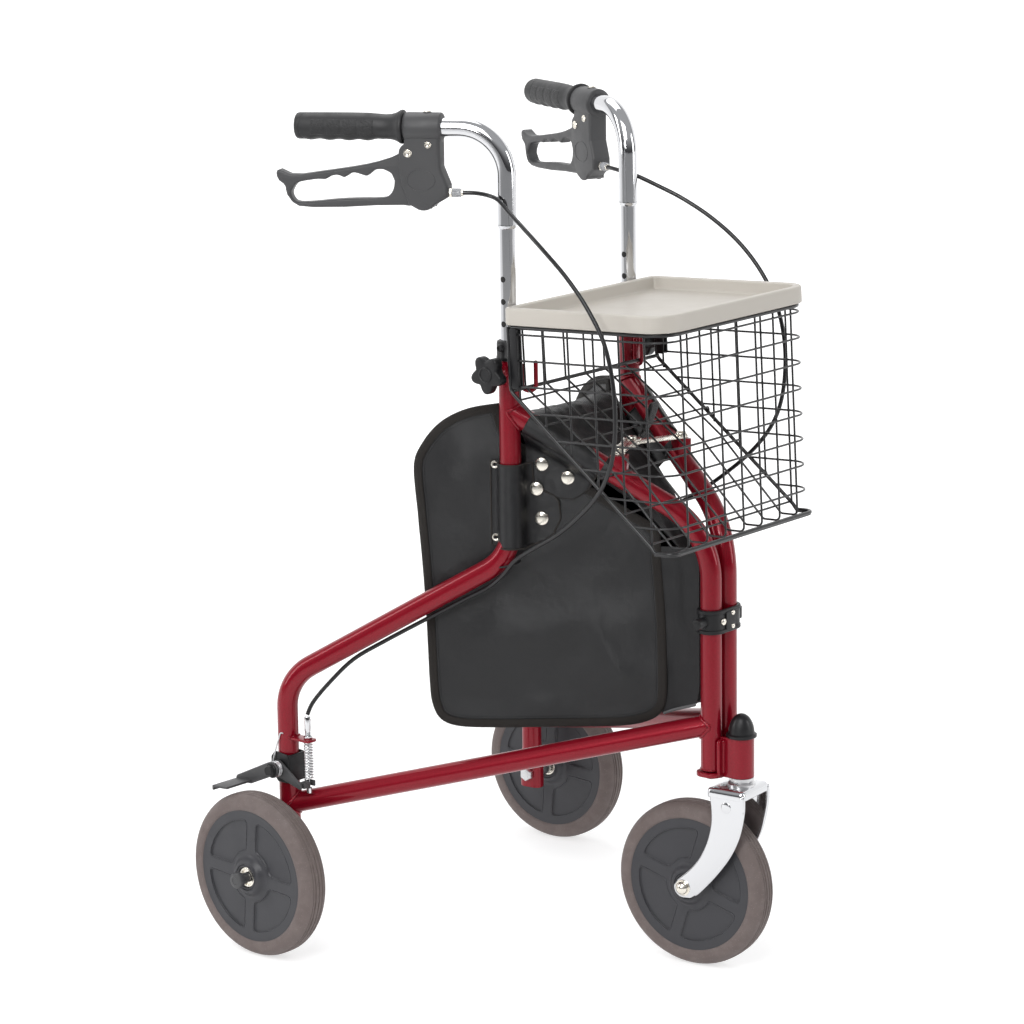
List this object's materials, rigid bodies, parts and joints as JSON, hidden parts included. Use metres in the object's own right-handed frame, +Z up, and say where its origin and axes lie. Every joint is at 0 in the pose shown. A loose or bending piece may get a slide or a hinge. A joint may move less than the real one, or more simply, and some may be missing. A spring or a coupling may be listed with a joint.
{
  "type": "rollator walker",
  "caption": "Folding three-wheel walker with bent-tube side frames, castering front wheel, loop brakes, wire basket, tray and fabric bag.",
  "frame": {"origin": "on the floor, under the middle of the walker's bounding box", "axes": "+Z up, -Y forward (the single caster wheel), +X the user's left"},
  "size_m": [0.6618, 0.6392, 1.011],
  "materials": {
    "red_paint": "gloss metallic",
    "chrome": "polished",
    "steel": "zinc plated",
    "black_plastic": "satin",
    "grey_plastic": "satin",
    "slate_plastic": "satin",
    "tray_plastic": "satin",
    "tyre": "matt",
    "grip_rubber": "matt",
    "cable_black": "satin",
    "wire_black": "satin powder coat",
    "bag_vinyl": "soft sheen",
    "bag_nylon": "soft sheen"
  },
  "bodies": {
    "front": {"head_bracket": "red_paint", "head_cap": "black_plastic", "head_bushes": "grey_plastic", "column_clamp": "black_plastic", "clamp_screws": "chrome", "pivot_pins": "steel", "bag_pouch": "bag_nylon"},
    "caster": {"caster_fork": "chrome", "caster_stem": "steel", "front_axle": "steel"},
    "front_wheel": {"front_tyre": "tyre", "front_hub": "slate_plastic", "front_bearings": "steel"},
    "left_frame": {"left_main_tube": "red_paint", "left_column_tube": "red_paint", "left_lower_tube": "red_paint", "left_post_bush": "black_plastic", "left_brake_bracket": "black_plastic", "left_rear_axle": "steel", "left_brake_cable": "cable_black", "left_cable_fittings": "chrome", "left_brake_spring": "steel", "left_bag_panel": "bag_vinyl"},
    "left_rear_wheel": {"left_rear_tyre": "tyre", "left_rear_hub": "slate_plastic", "left_rear_bearings": "steel"},
    "left_brake_arm": {"left_brake_arm": "steel"},
    "left_handle": {"left_handle_tube": "chrome", "left_grip": "grip_rubber", "left_lever_housing": "grey_plastic", "left_lever_pins": "chrome"},
    "left_brake_lever": {"left_brake_lever": "grey_plastic"},
    "left_height_knob": {"left_height_knob": "black_plastic"},
    "left_link": {"left_brace_link": "chrome", "pull_strap": "black_plastic"},
    "right_frame": {"right_main_tube": "red_paint", "right_column_tube": "red_paint", "right_lower_tube": "red_paint", "right_post_bush": "black_plastic", "right_brake_bracket": "black_plastic", "right_rear_axle": "steel", "right_brake_cable": "cable_black", "right_cable_fittings": "chrome", "right_brake_spring": "steel", "right_bag_panel": "bag_vinyl"},
    "right_rear_wheel": {"right_rear_tyre": "tyre", "right_rear_hub": "slate_plastic", "right_rear_bearings": "steel"},
    "right_brake_arm": {"right_brake_arm": "steel"},
    "right_handle": {"right_handle_tube": "chrome", "right_grip": "grip_rubber", "right_lever_housing": "grey_plastic", "right_lever_pins": "chrome"},
    "right_brake_lever": {"right_brake_lever": "grey_plastic"},
    "right_height_knob": {"right_height_knob": "black_plastic"},
    "right_link": {"right_brace_link": "chrome"},
    "basket": {"basket": "wire_black", "basket_brackets": "black_plastic"},
    "tray": {"tray": "tray_plastic"}
  },
  "joints": [
    {"name": "caster_swivel", "type": "hinge", "parent": "front", "child": "caster", "pos_m": [0, -0.282, 0.23], "axis": [0, 0, 1], "continuous": true},
    {"name": "front_wheel_spin", "type": "hinge", "parent": "caster", "child": "front_wheel", "pos_m": [-0.0054, -0.22024, 0.1], "axis": [0.9962, 0.0872, 0], "continuous": true},
    {"name": "left_fold", "type": "hinge", "parent": "front", "child": "left_frame", "pos_m": [0.015, -0.25, 0.4], "axis": [0, 0, 1], "range_deg": [0, 15.5], "deforming": ["bag_pouch"]},
    {"name": "left_link_pivot", "type": "hinge", "parent": "left_frame", "child": "left_link", "pos_m": [0.06056, -0.15318, 0.616], "axis": [0, 0, 1], "range_deg": [-53.02, 0]},
    {"name": "left_wheel_spin", "type": "hinge", "parent": "left_frame", "child": "left_rear_wheel", "pos_m": [0.28894, 0.21856, 0.1], "axis": [0.9989, 0.0471, 0], "continuous": true},
    {"name": "left_handle_height", "type": "slide", "parent": "left_frame", "child": "left_handle", "axis": [0, 0, 1], "range_m": [-0.078, 0.026]},
    {"name": "left_lever_squeeze", "type": "hinge", "parent": "left_handle", "child": "left_brake_lever", "pos_m": [0.1636, 0.06578, 0.962], "axis": [0.9048, -0.4258, 0], "range_deg": [0, 10], "stiffness_Nm_per_rad": 1.5, "springref_deg": -11.46},
    {"name": "left_brake_pivot", "type": "hinge", "parent": "left_frame", "child": "left_brake_arm", "pos_m": [0.23428, 0.21599, 0.222], "axis": [0.9989, 0.0471, 0], "range_deg": [-3.01, 0], "deforming": ["left_brake_spring", "left_brake_cable"]},
    {"name": "left_knob_turn", "type": "hinge", "parent": "left_frame", "child": "left_height_knob", "pos_m": [0.11548, -0.03646, 0.712], "axis": [1, 0, 0], "continuous": true},
    {"name": "right_fold", "type": "hinge", "parent": "front", "child": "right_frame", "pos_m": [-0.015, -0.25, 0.4], "axis": [0, 0, 1], "range_deg": [-15.5, 0]},
    {"name": "right_link_pivot", "type": "hinge", "parent": "right_frame", "child": "right_link", "pos_m": [-0.06056, -0.15318, 0.616], "axis": [0, 0, 1], "range_deg": [0, 53.02]},
    {"name": "right_wheel_spin", "type": "hinge", "parent": "right_frame", "child": "right_rear_wheel", "pos_m": [-0.28894, 0.21856, 0.1], "axis": [0.9989, -0.0471, 0], "continuous": true},
    {"name": "right_handle_height", "type": "slide", "parent": "right_frame", "child": "right_handle", "axis": [0, 0, 1], "range_m": [-0.078, 0.026]},
    {"name": "right_lever_squeeze", "type": "hinge", "parent": "right_handle", "child": "right_brake_lever", "pos_m": [-0.1636, 0.06578, 0.962], "axis": [0.9048, 0.4258, 0], "range_deg": [0, 10], "stiffness_Nm_per_rad": 1.5, "springref_deg": -11.46},
    {"name": "right_brake_pivot", "type": "hinge", "parent": "right_frame", "child": "right_brake_arm", "pos_m": [-0.23428, 0.21599, 0.222], "axis": [0.9989, -0.0471, 0], "range_deg": [-3.01, 0], "deforming": ["right_brake_spring", "right_brake_cable"]},
    {"name": "right_knob_turn", "type": "hinge", "parent": "right_frame", "child": "right_height_knob", "pos_m": [-0.11548, -0.03646, 0.712], "axis": [1, 0, 0], "continuous": true},
    {"name": "basket_lift", "type": "slide", "parent": "front", "child": "basket", "axis": [0, 0, 1], "range_m": [0, 0.12]},
    {"name": "tray_lift", "type": "slide", "parent": "basket", "child": "tray", "axis": [0, 0, 1], "range_m": [0, 0.1]}
  ],
  "couplings": [
    {"joint": "right_fold", "follows": "left_fold", "ratio": -1},
    {"joint": "left_link_pivot", "follows": "left_fold", "ratio": -3.42},
    {"joint": "right_link_pivot", "follows": "left_fold", "ratio": 3.42},
    {"joint": "left_brake_pivot", "follows": "left_lever_squeeze", "ratio": -0.3},
    {"joint": "right_brake_pivot", "follows": "right_lever_squeeze", "ratio": -0.3}
  ]
}
